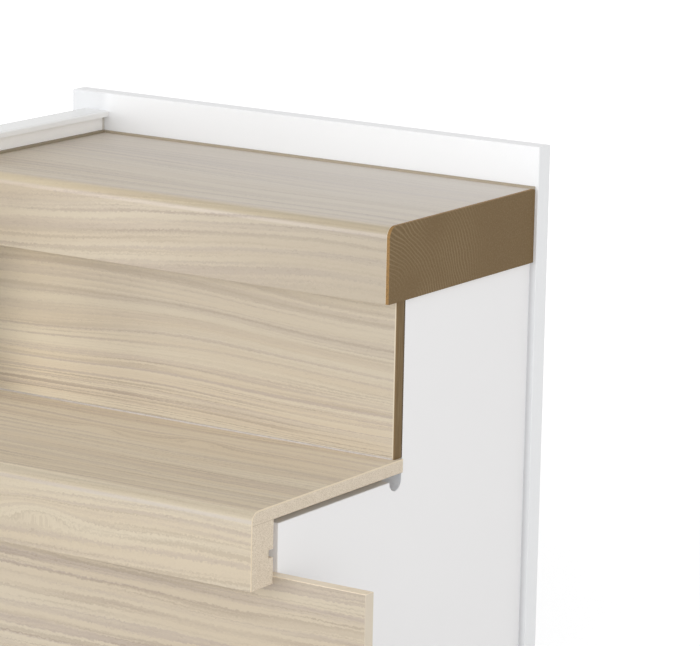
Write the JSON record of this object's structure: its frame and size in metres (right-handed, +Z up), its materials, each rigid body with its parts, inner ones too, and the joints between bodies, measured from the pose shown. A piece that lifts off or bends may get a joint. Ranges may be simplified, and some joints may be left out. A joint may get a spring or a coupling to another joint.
{
  "type": "stair side panel assembly",
  "caption": "Open end of a small boxed stair: white stepped side panel under wood-look treads with rounded nosings, risers, a dark tread end cover and a white back board.",
  "frame": {"origin": "on the floor, at the middle of the unit's footprint", "axes": "+X along the treads towards the open end with the side panel, +Y towards the back board, +Z up"},
  "size_m": [0.562, 0.443, 0.435],
  "materials": {
    "white_board": "smooth satin white coating on board",
    "white_cap": "smooth satin white strip with rounded edges",
    "carcass_board": "raw flat board",
    "cleat_wood": "planed softwood",
    "core_board": "fine speckled fibre board, sawn edge",
    "tread_laminate": "satin bleached oak laminate, grain along the tread",
    "riser_board": "satin bleached oak board, grain along the riser",
    "end_cover": "dark brown end-grain wood, raw orange-brown edge",
    "screw_steel": "zinc plated"
  },
  "bodies": {
    "root": {"side_panel": "white_board", "left_panel": "white_board", "back_board": "white_board", "left_cap": "white_cap", "carcass_tread_upper": "carcass_board", "carcass_tread_lower": "carcass_board", "carcass_riser_upper": "carcass_board", "carcass_riser_lower": "carcass_board", "cleat_right_upper": "cleat_wood", "cleat_right_lower": "cleat_wood", "cleat_left_upper": "cleat_wood", "cleat_left_lower": "cleat_wood", "cleat_back": "cleat_wood", "tread_upper_core": "core_board", "tread_upper_nosing": "core_board", "tread_lower_core": "core_board", "tread_lower_nosing": "core_board", "tread_upper_laminate": "tread_laminate", "tread_lower_laminate": "tread_laminate", "tread_upper_end_cap": "end_cover", "riser_upper_end_strip": "end_cover", "riser_upper": "riser_board", "riser_lower": "riser_board", "cleat_screws": "screw_steel", "back_screws": "screw_steel", "left_screws": "screw_steel"}
  },
  "joints": []
}
